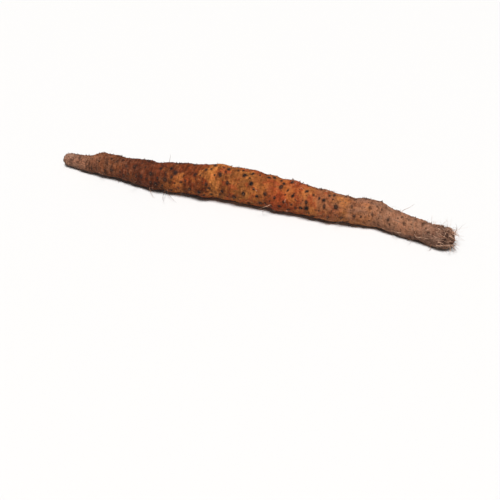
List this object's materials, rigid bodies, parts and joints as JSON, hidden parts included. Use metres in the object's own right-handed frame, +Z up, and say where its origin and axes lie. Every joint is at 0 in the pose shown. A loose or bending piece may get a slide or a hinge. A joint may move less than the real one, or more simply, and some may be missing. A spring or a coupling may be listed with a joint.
{
  "type": "yam tuber",
  "caption": "Long slender yam tuber with a thin ringed neck, a blunt growing end, dark root scars all over its brown skin and fine rootlets.",
  "frame": {"origin": "on the surface it rests on, under the middle of its box", "axes": "+X along the tuber from its neck to its blunt growing end, +Z up"},
  "size_m": [0.4297, 0.0504, 0.0363],
  "materials": {
    "skin": null
  },
  "bodies": {
    "root": {"tuber": "skin"}
  },
  "joints": []
}
